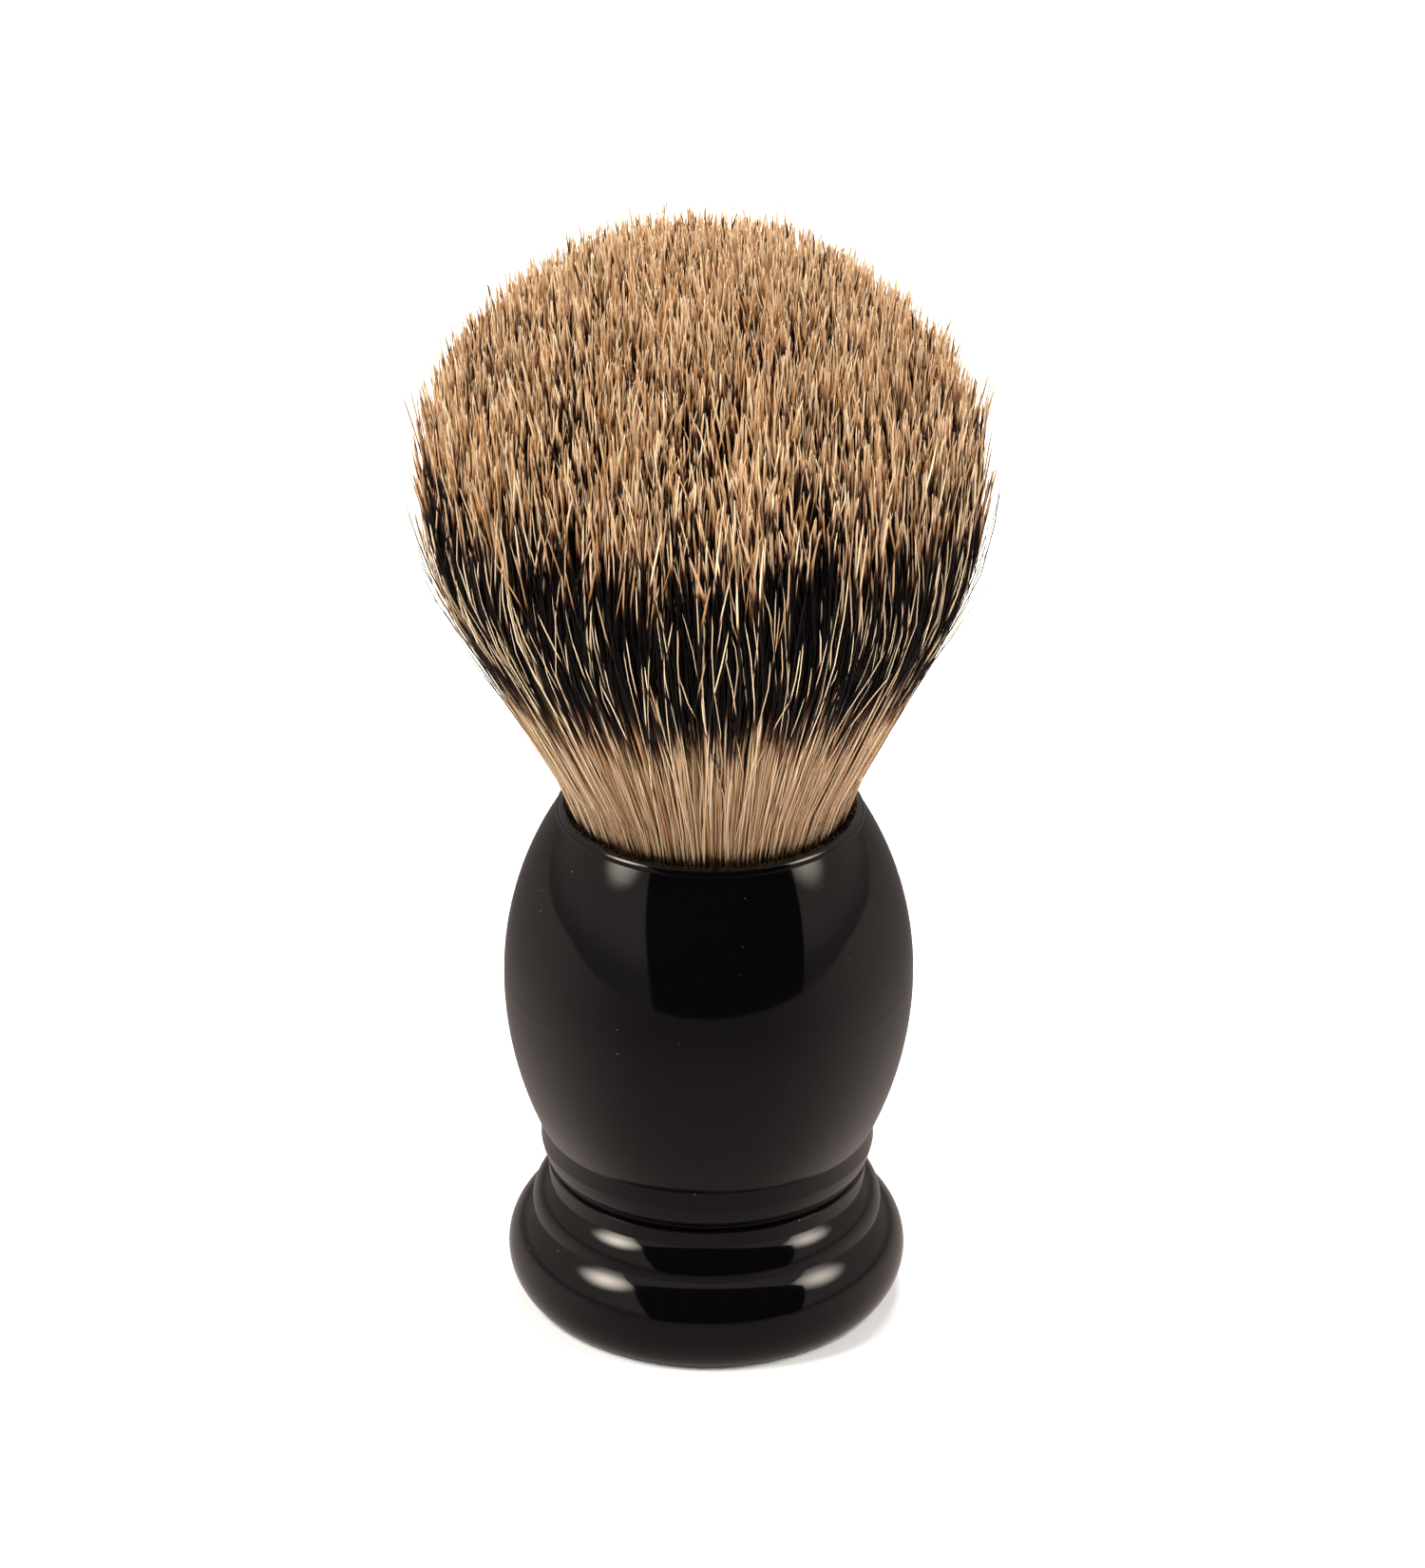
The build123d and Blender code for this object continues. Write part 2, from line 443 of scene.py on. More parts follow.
def lathe(name: str, radii: Array, heights: Array, around: int) -> bpy.types.Object:
    """Turns an outline about Z and closes it by a point at each end.

    Each of its points goes to (radius cos a, radius sin a, height) for every angle a.

    Args:
        name: the piece's name.
        radii: the outline's radii, from the bottom up, without the two poles.
        heights: the outline's heights, with the bottom pole first and the top pole last.
        around: the number of steps round.

    Returns:
        The new object.
    """
    angle = np.linspace(0.0, 2.0 * np.pi, around, endpoint=False)
    ring = np.stack([np.cos(angle), np.sin(angle)], axis=-1)
    xy = radii[:, None, None] * ring[None]
    z = np.broadcast_to(heights[1:-1, None, None], (len(radii), around, 1))
    wall = np.concatenate([xy, z], axis=-1).reshape(-1, 3)
    points = np.vstack([wall, [[0.0, 0.0, heights[0]], [0.0, 0.0, heights[-1]]]])
    step = np.arange(around)
    after = (step + 1) % around
    rows = np.arange(len(radii) - 1)[:, None] * around
    a, b, c, d = rows + step, rows + after, rows + after + around, rows + step + around
    sides = np.concatenate([np.stack([a, b, c], -1).reshape(-1, 3), np.stack([a, c, d], -1).reshape(-1, 3)])
    bottom, top = len(wall), len(wall) + 1
    last = (len(radii) - 1) * around
    caps = np.concatenate([
        np.stack([np.full(around, bottom), after, step], -1),
        np.stack([np.full(around, top), last + step, last + after], -1),
    ])
    return add_mesh(name, points, np.concatenate([sides, caps]))


# ---------------------------------------------------------------------------------------------
# The hair
# ---------------------------------------------------------------------------------------------


@dataclass
class TuftShape:
    """The tuft's outline.

    A straight flank rises from the mouth to a full bloom, and the crown is half an ellipsoid.
    """

    mouth_dip: float = 0.35 * MM
    root_depth: float = 1.7 * MM
    mouth_radius: float = 10.9 * MM
    flank_height: float = 18.6 * MM
    flank_flare: float = 9.8 * MM
    bloom_rise: float = 11.2 * MM
    lean: Vector = field(default_factory=lambda: Vector((-1.0 * MM, 0.0, 0.0)))

    def __post_init__(self) -> None:
        """Reads the tuft's place from the frame."""
        low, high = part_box("hair_tuft")
        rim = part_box("handle_barrel")[1].z
        self.mouth_z = rim - self.mouth_dip
        self.root_z = self.mouth_z - self.root_depth
        self.floor_z = low.z
        self.top_z = high.z
        self.bloom_radius = high.x
        self.flank_end_z = self.mouth_z + self.flank_height
        self.bloom_z = self.flank_end_z + self.bloom_rise

    def reach(self, z: Array) -> Array:
        """Radius of the outermost hair: straight, then eased to upright, and upright above the bloom.

        Args:
            z: heights.

        Returns:
            The radius at each height.
        """
        slope = self.flank_flare / self.flank_height
        straight = self.mouth_radius + slope * np.clip(z - self.mouth_z, 0.0, self.flank_height)
        end_radius = self.mouth_radius + self.flank_flare
        swell = self.bloom_radius - end_radius
        power = slope * self.bloom_rise / swell
        share = np.clip((z - self.flank_end_z) / self.bloom_rise, 0.0, 1.0)
        return np.where(z < self.flank_end_z, straight, self.bloom_radius - swell * (1.0 - share) ** power)

    def crown(self, share: Array) -> Array:
        """Height of the crown above the hair at a share of the way out: an ellipse.

        Args:
            share: 0 at the axis to 1 at the bloom's edge.

        Returns:
            The height at each share.
        """
        return self.bloom_z + (self.top_z - self.bloom_z) * np.sqrt(np.clip(1.0 - share**2, 0.0, 1.0))


@dataclass(frozen=True)
class Waves:
    """Plane waves of many lengths over the knot's plan, each pushing along the way it travels."""

    count: int
    short: float
    long: float

    def push(self, points: Array, seed: int, size: float) -> Array:
        """A smooth random push.

        Args:
            points: x, y rows.
            seed: the random source's seed.
            size: the push's typical length.

        Returns:
            The push's x, y rows.
        """
        rng = np.random.default_rng(seed)
        heading = rng.uniform(0.0, 2.0 * np.pi, self.count)
        way = np.stack([np.cos(heading), np.sin(heading)])
        number = 2.0 * np.pi / rng.uniform(self.short, self.long, self.count)
        phase = rng.uniform(0.0, 2.0 * np.pi, self.count)
        height = np.sin(points @ way * number + phase)
        return height @ way.T * size * math.sqrt(2.0 / self.count) * math.sqrt(2.0)


@dataclass
class Strands:
    """A batch of hairs, each a tapered three-sided tube from a base ring to a blunt point.

    The rings stand at places from 0 at the base to 1 at the tip. Lean and clump are the typical pushes of
    a tip on its own and with its neighbours, and twist is the angle's typical drift.
    """

    PLACE = "strand_place"
    KIND = "strand_kind"
    SIDES = 3

    name: str
    count: int
    rings: list[float]
    twist: float
    lean: float = 0.9 * MM
    clump: float = 0.1 * MM
    thickness: float = 0.19 * MM
    thinnest: float = 0.6
    thickest: float = 1.2
    taper: float = 1.2 * MM
    piece_triangles: int = 190_000

    def build(self, centre: Array, kind: Array, mouth_z: float, rng: np.random.Generator) -> Pieces:
        """Makes the hairs' meshes, split into pieces.

        Each ring is three points round the hair's centre line at equal angles, turned by the hair's own
        angle. The ring's radius grows with the square root of the distance from the tip, up to the full
        thickness at the taper's end.

        Args:
            centre: the centre lines, hair by ring by x, y, z, where the last point is the tip.
            kind: each hair's tip length, band end and shade.
            mouth_z: height of the knot's mouth.
            rng: the random source.

        Returns:
            The pieces.
        """
        hairs, levels = centre.shape[0], centre.shape[1] - 1
        steps = np.linalg.norm(np.diff(centre, axis=1), axis=2)
        from_tip = np.concatenate([np.cumsum(steps[:, ::-1], axis=1)[:, ::-1], np.zeros((hairs, 1))], axis=1)
        width = rng.uniform(self.thinnest, self.thickest, (hairs, 1)) * self.thickness / 2.0
        radius = width * np.sqrt(np.clip(from_tip[:, :-1] / self.taper, 0.0, 1.0))
        turn = rng.uniform(0.0, 2.0 * np.pi, (hairs, 1, 1)) + np.arange(self.SIDES) * 2.0 * np.pi / self.SIDES
        offset = np.stack([np.cos(turn), np.sin(turn), np.zeros_like(turn)], axis=-1)
        tube = centre[:, :-1, None, :] + radius[:, :, None, None] * offset
        per_hair = levels * self.SIDES + 1
        points = np.concatenate([tube.reshape(hairs, -1, 3), centre[:, -1:, :]], axis=1)
        place = np.stack([from_tip, centre[:, :, 2] - mouth_z, np.zeros_like(from_tip)], axis=-1) / MM
        place = np.concatenate([np.repeat(place[:, :-1], self.SIDES, axis=1), place[:, -1:]], axis=1)
        faces = self.faces(levels)
        batch = max(1, self.piece_triangles // len(faces))
        pieces = []
        for number, start in enumerate(range(0, hairs, batch)):
            part = slice(start, min(start + batch, hairs))
            size = part.stop - part.start
            triangles = (faces[None] + np.arange(size)[:, None, None] * per_hair).reshape(-1, 3)
            piece = add_mesh(f"{self.name}_{number + 1}", points[part].reshape(-1, 3), triangles)
            self.mark(piece, self.PLACE, place[part])
            self.mark(piece, self.KIND, np.repeat(kind[part], per_hair, axis=0))
            pieces.append(piece)
        return pieces

    def faces(self, levels: int) -> Array:
        """The triangles of one hair, counter-clockwise from outside: the wall, the point and the base.

        Args:
            levels: the number of rings.

        Returns:
            One row of three vertex numbers for each triangle.
        """
        side = np.arange(self.SIDES)
        after = (side + 1) % self.SIDES
        rows = np.arange(levels - 1)[:, None] * self.SIDES
        a, b, c, d = rows + side, rows + after, rows + after + self.SIDES, rows + side + self.SIDES
        lower, upper = np.stack([a, b, c], -1).reshape(-1, 3), np.stack([a, c, d], -1).reshape(-1, 3)
        last = (levels - 1) * self.SIDES
        point = np.stack([last + side, last + after, np.full(self.SIDES, levels * self.SIDES)], -1)
        return np.concatenate([lower, upper, point, [[2, 1, 0]]])

    def mark(self, piece: bpy.types.Object, name: str, values: Array) -> None:
        """Stores three numbers on each vertex.

        Args:
            piece: the piece.
            name: the attribute's name.
            values: the numbers.
        """
        layer = piece.data.attributes.new(name, "FLOAT_VECTOR", "POINT")
        layer.data.foreach_set("vector", values.astype(np.float32).ravel())


@dataclass
class Pelt:
    """How the hairs' colour places vary: numbers in millimetres, and shares of odd hairs."""

    tip_length: float = 3.45
    tip_spread: float = 1.2
    band_end: float = 13.4
    end_spread: float = 2.1
    end_drift: float = 0.5
    patches: Waves = Waves(16, 4 * MM, 11 * MM)
    patch: float = 0.7
    tones: Waves = Waves(60, 0.8 * MM, 2.6 * MM)
    tone_patch: float = 0.16
    shade_curve: tuple[float, float] = (0.9, 1.9)
    pale: float = 0.0
    dark_tipped: float = 0.10
    dark_tip: tuple[float, float] = (-1.0, 1.5)
    unbanded: float = 0.012
    unbanded_tip: float = 90.0
    unbanded_shade: tuple[float, float] = (0.4, 1.0)
    seed: int = 5

    def kinds(self, plane: Array, rng: np.random.Generator) -> Array:
        """Draws each hair's tip length, band end and shade.

        Args:
            plane: the hairs' x, y places seen from above.
            rng: the random source.

        Returns:
            One row of three numbers for each hair.
        """
        count = len(plane)
        drift = self.patches.push(plane, self.seed, self.patch)
        tip = self.tip_length + drift[:, 0] + rng.normal(0.0, self.tip_spread, count)
        end = self.band_end + self.end_drift * drift[:, 1] + rng.normal(0.0, self.end_spread, count)
        odd = rng.uniform(0.0, 1.0, count)
        tone = self.tones.push(plane, self.seed + 1, self.tone_patch)[:, 0]
        shade = np.clip(rng.beta(*self.shade_curve, count) + tone + self.pale, 0.0, 1.0)
        none = odd > 1.0 - self.unbanded
        tip = np.where(odd < self.dark_tipped, rng.uniform(*self.dark_tip, count), tip)
        tip = np.where(none, self.unbanded_tip, tip)
        shade = np.where(none, rng.uniform(*self.unbanded_shade, count), shade)
        return np.stack([tip, end, shade], axis=-1)


@dataclass
class HairKnot:
    """The whole knot.

    The upper ends of the inner hairs make the crown and full-length hairs the flank. Fine hairs, short
    ones and strays loosen its outline, and a dark filling closes its middle.
    """

    shape: TuftShape
    finish: Finish
    filling_finish: Finish
    pelt: Pelt = field(default_factory=Pelt)
    crown_hairs: int = 10_800
    flank_hairs: int = 2_700
    fine_hairs: int = 2_600
    short_hairs: int = 430
    stray_hairs: int = 130
    crown_depth: float = 20.0 * MM
    fine_depth: float = 12.0 * MM
    filling_share: float = 0.84
    filling_drop: float = 13.0 * MM
    bend_length: float = 22.0 * MM
    drift: Waves = Waves(24, 7 * MM, 16 * MM)
    drift_push: float = 0.18 * MM
    clumps: Waves = Waves(60, 1.2 * MM, 3.0 * MM)
    push_length: float = 11.0 * MM
    push_power: float = 1.5
    waviness: float = 0.22 * MM
    wave_length: tuple[float, float] = (12.0 * MM, 26.0 * MM)
    wave_start: float = 6.3
    lock_waves: int = 9
    lock_turns: tuple[int, int] = (45, 190)
    lock_pull: float = 0.38
    seed: int = 11

    def build(self, groups: Groups) -> None:
        """Makes every hair piece and dresses it.

        Args:
            groups: the shared node groups, by name.
        """
        hair = self.finish.make(groups)
        for pieces in (self.crown(), self.flank(), self.fine(), self.shorts(), self.strays()):
            for piece in pieces:
                self.dress(piece, hair)
        filling = self.filling()
        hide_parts("hair_tuft")
        self.dress(filling, self.filling_finish.make(groups))

    def dress(self, piece: bpy.types.Object, material: bpy.types.Material) -> None:
        """Gives a hair piece its material and slot, and bakes its place into its mesh.

        Args:
            piece: the piece.
            material: its material.
        """
        piece.data.materials.append(material)
        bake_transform(piece)
        LOG.info("%s: %d triangles", piece.name, len(piece.data.polygons))

    def plane(self, share: Array, angle: Array) -> Array:
        """The hairs' places at the bloom, seen from above."""
        return self.shape.bloom_radius * share[:, None] * np.stack([np.cos(angle), np.sin(angle)], -1)

    def grow(
        self, strands: Strands, share: Array, angle: Array, base_z: Array, tip_z: Array,
        rng: np.random.Generator, pelt: Pelt | None = None, spread: Array | float = 0.0,
    ) -> Pieces:
        """Runs the centre lines of a batch of hairs and makes its pieces.

        A hair at a share of the way out follows the outermost hair scaled by that share, so the knot
        opens like a fan. It is pushed sideways by a shared drift, by clumping, and by its own small lean,
        all growing with a power of the height over its last stretch. Above the mouth its angle drifts by
        its own twist, and a sine along the hair sways it round the axis.

        Args:
            strands: the batch.
            share: each hair's share of the way out.
            angle: each hair's angle about the axis.
            base_z: where each hair starts.
            tip_z: where it ends.
            rng: the random source.
            pelt: how their colour places vary, where it isn't the knot's own way.
            spread: how much further out the tip stands, as a share of the radius.

        Returns:
            The pieces.
        """
        count = strands.count
        z = base_z[:, None] + (tip_z - base_z)[:, None] * np.array(strands.rings)
        climb = np.clip((z - self.shape.mouth_z) / (tip_z - self.shape.mouth_z)[:, None], 0.0, 1.0)
        radius = share[:, None] * self.shape.reach(z) * (1.0 + np.reshape(spread, (-1, 1)) * climb**2)
        turned = angle[:, None] + rng.normal(0.0, strands.twist, (count, 1)) * climb
        plane = self.plane(share, angle)
        push = self.drift.push(plane, self.seed + 1, self.drift_push)
        push = push + self.clumps.push(plane, self.seed + 2, strands.clump)
        push = push + rng.normal(0.0, strands.lean, (count, 2))
        near = np.clip((z - tip_z[:, None]) / self.push_length + 1.0, 0.0, 1.0) ** self.push_power
        shift = np.array(self.shape.lean[:2])
        length = rng.uniform(*self.wave_length, (count, 1))
        wave = np.sin(z * 2.0 * np.pi / length + rng.uniform(0.0, self.wave_start, (count, 1)))
        sway = self.waviness * rng.normal(0.0, 1.0, (count, 1)) * wave * climb**0.5
        x = radius * np.cos(turned) + push[:, :1] * near + shift[0] * climb - sway * np.sin(angle)[:, None]
        y = radius * np.sin(turned) + push[:, 1:] * near + shift[1] * climb + sway * np.cos(angle)[:, None]
        kinds = (pelt or self.pelt).kinds(plane, rng)
        return strands.build(np.stack([x, y, z], axis=-1), kinds, self.shape.mouth_z, rng)

    def gather(self, angle: Array, rng: np.random.Generator) -> Array:
        """Draws evenly spread angles together into uneven locks, by adding sines of them.

        Args:
            angle: angles about the axis.
            rng: the random source.

        Returns:
            The moved angles.
        """
        waves = rng.integers(*self.lock_turns, self.lock_waves)
        phase = rng.uniform(0.0, 2.0 * np.pi, self.lock_waves)
        return angle + (np.sin(angle[:, None] * waves + phase) * self.lock_pull / waves).sum(axis=1)

    def crown(self) -> Pieces:
        """The upper ends of the inner hairs, evenly spread over the crown's plan.

        Returns:
            The pieces.
        """
        rng = np.random.default_rng(self.seed + 10)
        strands = Strands("hair_crown", self.crown_hairs, [0.0, 0.4, 0.65, 0.83, 0.94, 0.985, 1.0], 0.008)
        outmost, uneven, shortfall = 0.965, 0.45 * MM, 1.7 * MM
        share = outmost * np.sqrt(rng.uniform(0.0, 1.0, strands.count))
        angle = rng.uniform(0.0, 2.0 * np.pi, strands.count)
        tip = self.shape.crown(share) + rng.normal(0.0, uneven, strands.count)
        tip = tip - rng.exponential(shortfall, strands.count)
        return self.grow(strands, share, angle, tip - self.crown_depth, tip, rng)

    def flank(self) -> Pieces:
        """Full-length hairs round the outside, from inside the mouth to the bloom's shoulder.

        Returns:
            The pieces.
        """
        rng = np.random.default_rng(self.seed + 20)
        rings = [0.0, 0.06, 0.14, 0.22, 0.3, 0.4, 0.5, 0.6, 0.7, 0.8, 0.89, 0.95, 0.985, 1.0]
        strands = Strands("hair_flank", self.flank_hairs, rings, 0.045)
        inmost, tuck, uneven, shortfall = 0.86, 0.985, 0.9 * MM, 1.5 * MM
        share = np.sqrt(rng.uniform(inmost**2, 1.0, strands.count))
        angle = self.gather(rng.uniform(0.0, 2.0 * np.pi, strands.count), rng)
        tip = self.shape.crown(tuck * share) + rng.normal(0.0, uneven, strands.count)
        tip = tip - rng.exponential(shortfall, strands.count)
        base = np.full(strands.count, self.shape.root_z)
        return self.grow(strands, share, angle, base, tip, rng)

    def fine(self) -> Pieces:
        """Fine hairs that stand a little above the crown's outline.

        Returns:
            The pieces.
        """
        rng = np.random.default_rng(self.seed + 50)
        rings = [0.0, 0.45, 0.75, 0.93, 1.0]
        strands = Strands(
            "hair_fine", self.fine_hairs, rings, 0.02, lean=1.1 * MM, clump=0.0, thickness=0.085 * MM
        )
        rise, uneven = 0.3 * MM, 0.6 * MM
        share = np.sqrt(rng.uniform(0.0, 1.0, strands.count))
        angle = rng.uniform(0.0, 2.0 * np.pi, strands.count)
        tip = self.shape.crown(share) + rng.normal(rise, uneven, strands.count)
        return self.grow(strands, share, angle, tip - self.fine_depth, tip, rng)

    def shorts(self) -> Pieces:
        """Shorter, paler outer hairs, whose ends lie over the dark band.

        Returns:
            The pieces.
        """
        rng = np.random.default_rng(self.seed + 30)
        rings = [0.0, 0.2, 0.45, 0.7, 0.88, 0.96, 1.0]
        strands = Strands("hair_short", self.short_hairs, rings, 0.07, thickness=0.11 * MM)
        inmost, outmost = 0.98, 1.015
        least_drop, usual_drop, most_drop = -1.0 * MM, 3.0 * MM, 13.0 * MM
        share = rng.uniform(inmost, outmost, strands.count)
        angle = rng.uniform(0.0, 2.0 * np.pi, strands.count)
        drop = rng.triangular(least_drop, usual_drop, most_drop, strands.count)
        tip = self.shape.bloom_z + 1.0 * MM - drop
        base = np.full(strands.count, self.shape.root_z)
        pelt = Pelt(tip_length=5.5, tip_spread=2.0, unbanded=0.07, dark_tipped=0.05, pale=0.45)
        return self.grow(strands, share, angle, base, tip, rng, pelt)

    def strays(self) -> Pieces:
        """Single hairs that stand out from the flank.

        Returns:
            The pieces.
        """
        rng = np.random.default_rng(self.seed + 40)
        rings = [0.0, 0.2, 0.4, 0.58, 0.74, 0.88, 0.96, 1.0]
        strands = Strands(
            "hair_stray", self.stray_hairs, rings, 0.09, lean=0.5 * MM, clump=0.0, thickness=0.1 * MM
        )
        inmost, lowest, highest, closest, widest = 0.97, -11.0, 5.0, 0.02, 0.08
        share = rng.uniform(inmost, 1.0, strands.count)
        angle = rng.uniform(0.0, 2.0 * np.pi, strands.count)
        tip = self.shape.bloom_z + rng.uniform(lowest, highest, strands.count) * MM
        base = np.full(strands.count, self.shape.root_z)
        spread = rng.uniform(closest, widest, strands.count)
        return self.grow(strands, share, angle, base, tip, rng, Pelt(unbanded=0.3), spread)

    def filling(self) -> bpy.types.Object:
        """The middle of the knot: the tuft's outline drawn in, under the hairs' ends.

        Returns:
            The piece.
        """
        shape = self.shape
        wall_z = np.linspace(shape.floor_z, shape.bloom_z, 40)
        wall = self.filling_share * shape.reach(wall_z)
        arc = np.linspace(0.0, np.pi / 2.0, 25)[1:-1]
        rise = shape.top_z - self.filling_drop - shape.bloom_z
        radii = np.concatenate([wall, wall[-1] * np.cos(arc)])
        dome = shape.bloom_z + rise * np.sin(arc)
        heights = np.concatenate([[shape.floor_z], wall_z, dome, [shape.bloom_z + rise]])
        return lathe("hair_filling", radii, heights, 96)


# ---------------------------------------------------------------------------------------------
# The handle and what is inside it
# ---------------------------------------------------------------------------------------------


@dataclass
class Handle:
    """The turned pieces and the pieces inside them, which keep their own shapes and take a finish each."""

    finishes: dict[str, Finish]

    def build(self, groups: Groups) -> None:
        """Dresses every node of the handle.

        Args:
            groups: the shared node groups, by name.
        """
        made: dict[str, bpy.types.Material] = {}
        for node, finish in self.finishes.items():
            if finish.name not in made:
                made[finish.name] = finish.make(groups)
            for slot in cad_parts[node].material_slots:
                slot.material = made[finish.name]
            LOG.info("%s: finish %s", node, finish.name)


# ---------------------------------------------------------------------------------------------
# The studio
# ---------------------------------------------------------------------------------------------


def toward(azimuth: float, elevation: float) -> Vector:
    """Unit vector at an azimuth from the front, positive to the right, and an elevation, in degrees."""
    turn, rise = math.radians(azimuth), math.radians(elevation)
    return Vector((math.sin(turn) * math.cos(rise), -math.cos(turn) * math.cos(rise), math.sin(rise)))


@dataclass
class Lamp:
    """A wide square soft box that lights the scene but isn't mirrored."""

    name: str
    azimuth: float
    elevation: float
    power: float
    distance: float = 1.6
    side: float = 0.6
    colour: Colour = (1.0, 0.97, 0.92)
    target: Vector = field(default_factory=lambda: Vector((0.0, 0.0, 0.05)))

    def build(self) -> None:
        """Hangs the soft box."""
        light = bpy.data.lights.new(self.name, "AREA")
        light.shape = "SQUARE"
        light.size = self.side
        light.energy = self.power
        light.color = self.colour
        lamp = bpy.data.objects.new(self.name, light)
        lamp.visible_glossy = False
        bpy.context.scene.collection.objects.link(lamp)
        way = toward(self.azimuth, self.elevation)
        lamp.location = self.target + way * self.distance
        lamp.rotation_mode = "QUATERNION"
        lamp.rotation_quaternion = (-way).to_track_quat("-Z", "Y")


@dataclass
class Card:
    """A flat card that only reflections see."""

    name: str
    corners: Array

    def build(self) -> Board:
        """Hangs the card.

        Returns:
            The board of its empty material.
        """
        card = add_mesh(self.name, self.corners, np.array([[0, 1, 2], [0, 2, 3]]), smooth=False)
        material = bpy.data.materials.new(self.name)
        material.use_nodes = True
        material.node_tree.nodes.clear()
        card.data.materials.append(material)
        card.visible_camera = False
        card.visible_diffuse = False
        card.visible_shadow = False
        card.visible_transmission = False
        return Board(material.node_tree)


@dataclass
class Glow:
    """A soft round glow that the polish mirrors: bright in the middle, faded at its rim, cut inside."""

    name: str
    azimuth: float
    elevation: float
    strength: float
    radius: float = 0.20
    cut: float = 0.7
    distance: float = 0.6
    colour: Colour = (1.0, 0.90, 0.78)
    target: Vector = field(default_factory=lambda: Vector((0.0, 0.0, 0.02)))

    def build(self) -> None:
        """Hangs the glow: its brightness is a smooth step of the distance from its middle."""
        way = toward(self.azimuth, self.elevation)
        middle = self.target + way * self.distance
        outward = Vector((math.copysign(1.0, self.azimuth), 0.0, 0.0))
        outward = (outward - way * outward.dot(way)).normalized()
        upward = Vector((0.0, 0.0, 1.0))
        upward = (upward - way * way.z - outward * outward.z).normalized()
        reach = self.radius
        corners = [middle + outward * a + upward * b for a, b in (
            (-reach * self.cut, -reach), (reach, -reach), (reach, reach), (-reach * self.cut, reach),
        )]
        board = Card(self.name, np.array(corners)).build()
        place = board.add("ShaderNodeTexCoord").outputs["Object"]
        apart = board.add("ShaderNodeVectorMath", {0: place, 1: middle}, operation="DISTANCE")
        fade = board.math("MULTIPLY", board.ease(apart.outputs["Value"], reach, 0.0), self.strength)
        light = board.add("ShaderNodeEmission", {"Color": opaque(self.colour), "Strength": fade})
        clear = board.add("ShaderNodeBsdfTransparent")
        both = board.add("ShaderNodeAddShader", {0: light.outputs[0], 1: clear.outputs[0]})
        board.add("ShaderNodeOutputMaterial", {"Surface": both.outputs[0]})


